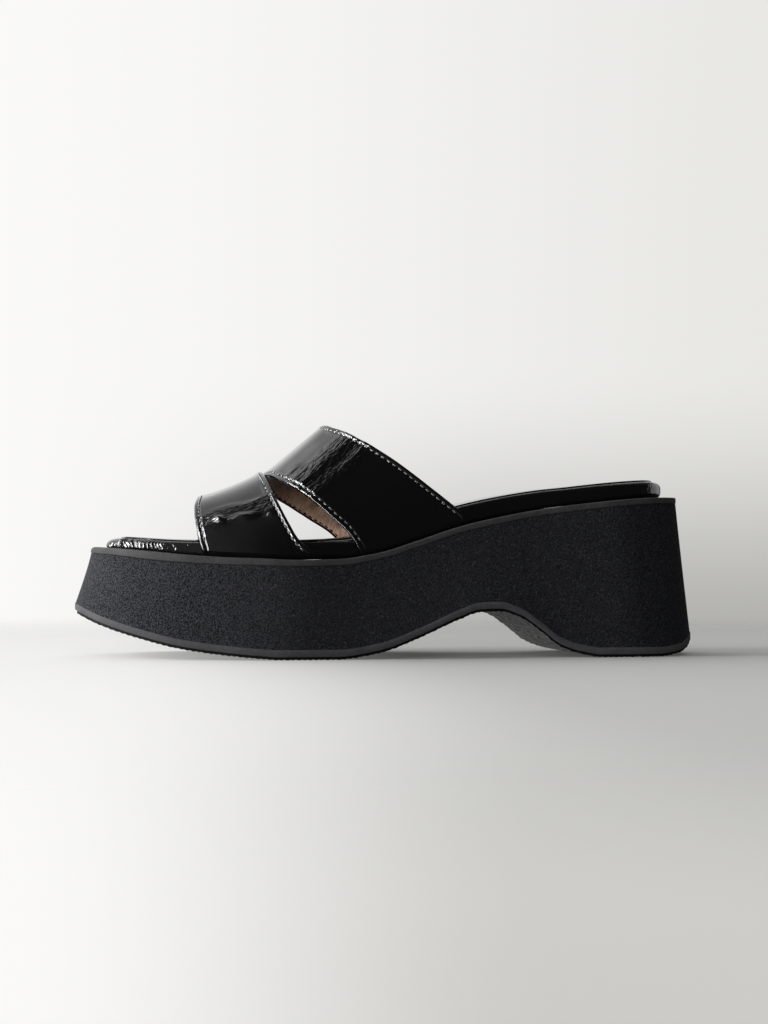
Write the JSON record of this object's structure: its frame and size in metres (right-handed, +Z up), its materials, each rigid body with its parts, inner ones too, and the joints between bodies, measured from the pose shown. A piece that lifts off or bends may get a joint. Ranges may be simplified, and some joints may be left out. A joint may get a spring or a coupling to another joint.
{
  "type": "platform mule shoe",
  "caption": "Women's left platform mule: joined front and rear patent bands over a padded footbed on a wavy foam platform with a rubber outsole.",
  "frame": {"origin": "on the floor under the middle of the shoe's overall box", "axes": "+X from toe to heel, +Y from the outer to the inner side of a left shoe, +Z up from the floor"},
  "size_m": [0.2702, 0.1004, 0.1],
  "materials": {
    "outsole_rubber": "matte dark grey rubber with a fine rough tread",
    "platform_foam": "matte charcoal foam with a fine sandy grain",
    "welt_rubber": "smooth matte dark grey strip",
    "footbed_patent": "black crinkled patent wrap, pleated round the toe",
    "band_patent": "black glossy patent with a fine crinkle, brown leather lining inside"
  },
  "bodies": {
    "root": {"outsole": "outsole_rubber", "midsole": "platform_foam", "welt": "welt_rubber", "insole": "footbed_patent", "upper": "band_patent"}
  },
  "joints": []
}
